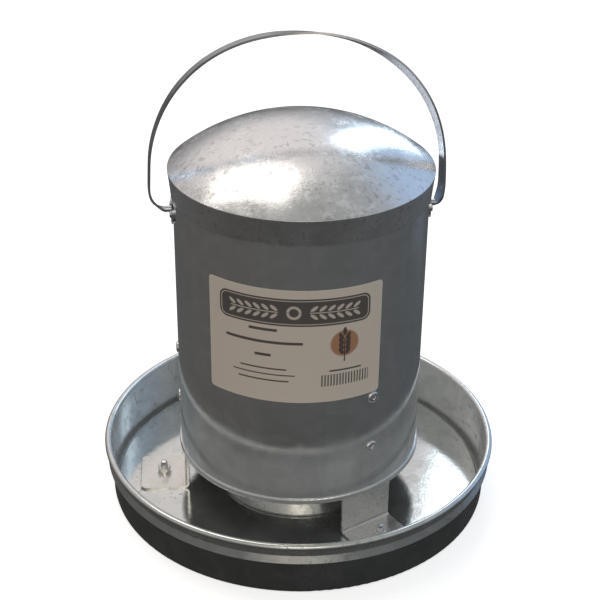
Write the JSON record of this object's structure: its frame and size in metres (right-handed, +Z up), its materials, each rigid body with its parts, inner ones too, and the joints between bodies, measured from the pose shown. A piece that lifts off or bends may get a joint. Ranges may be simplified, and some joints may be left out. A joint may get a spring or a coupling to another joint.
{
  "type": "gravity poultry feeder",
  "caption": "Galvanised steel hopper feeder: a tube on angle brackets over a round rimmed pan, with a domed lift-off lid and a swinging strap handle.",
  "frame": {"origin": "centre of the pan's base ring, on the ground", "axes": "+Z up along the tube; X along the handle's pivots; the label faces about -Y"},
  "size_m": [0.2796, 0.2796, 0.3369],
  "materials": {
    "galvanised_pan": "galvanised, bright",
    "galvanised_tube": "galvanised, dull grey",
    "galvanised_lid": "galvanised, bright spangle",
    "galvanised_strap": "galvanised strap, dull",
    "galvanised_bracket": "galvanised, satin",
    "steel_wire": "drawn wire",
    "zinc_fastener": "bright zinc plate",
    "label_film": "printed film, satin"
  },
  "bodies": {
    "feeder": {"pan": "galvanised_pan", "pan_rim_wire": "steel_wire", "spreader_cone": "galvanised_pan", "cone_rivets": "zinc_fastener", "bracket_left": "galvanised_bracket", "bracket_front_right": "galvanised_bracket", "bracket_back_right": "galvanised_bracket", "foot_bolts": "zinc_fastener", "foot_washers": "zinc_fastener", "foot_nuts": "zinc_fastener", "tube": "galvanised_tube", "tube_top_wire": "steel_wire", "leg_rivets": "zinc_fastener", "handle_lug_left": "galvanised_bracket", "handle_lug_right": "galvanised_bracket", "lug_rivets": "zinc_fastener", "label": "label_film"},
    "handle": {"handle": "galvanised_strap"},
    "lid": {"lid": "galvanised_lid"}
  },
  "joints": [
    {"name": "handle_swing", "type": "hinge", "parent": "feeder", "child": "handle", "pos_m": [0, 0, 0.2166], "axis": [1, 0, 0], "range_deg": [-122, 122]},
    {"name": "lid_lift", "type": "slide", "parent": "feeder", "child": "lid", "axis": [0, 0, 1], "range_m": [0, 0.0192]}
  ]
}
